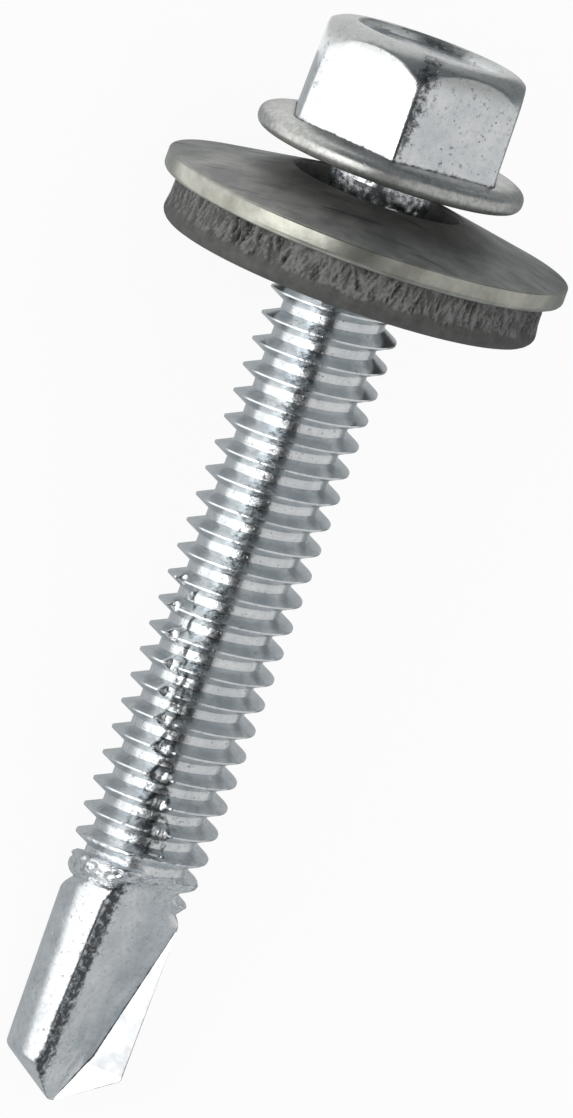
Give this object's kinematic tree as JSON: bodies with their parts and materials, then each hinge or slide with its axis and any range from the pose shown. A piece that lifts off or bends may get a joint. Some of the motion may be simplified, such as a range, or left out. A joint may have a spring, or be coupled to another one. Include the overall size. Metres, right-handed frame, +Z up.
{
  "type": "self-drilling facade screw",
  "caption": "Self-drilling hex flange screw with a fine thread, a fluted drill point and a captive dished sealing washer with a bonded rubber ring.",
  "frame": {"origin": "centre of the footprint at the height of the surface that the screw lies on", "axes": "+X along the lying screw towards its head, +Z up"},
  "size_m": [0.043, 0.016, 0.0157],
  "materials": {
    "zinc_screw": "bright zinc plating",
    "washer_steel": "satin zinc on rolled sheet",
    "seal_rubber": "matt, cut edge"
  },
  "bodies": {
    "screw": {"screw": "zinc_screw"},
    "sealing_washer": {"metal_washer": "washer_steel", "rubber_seal": "seal_rubber"}
  },
  "joints": [
    {"name": "washer_slide", "type": "slide", "parent": "screw", "child": "sealing_washer", "axis": [0.9814, 0, 0.1922], "range_m": [0, 0.00092]}
  ]
}
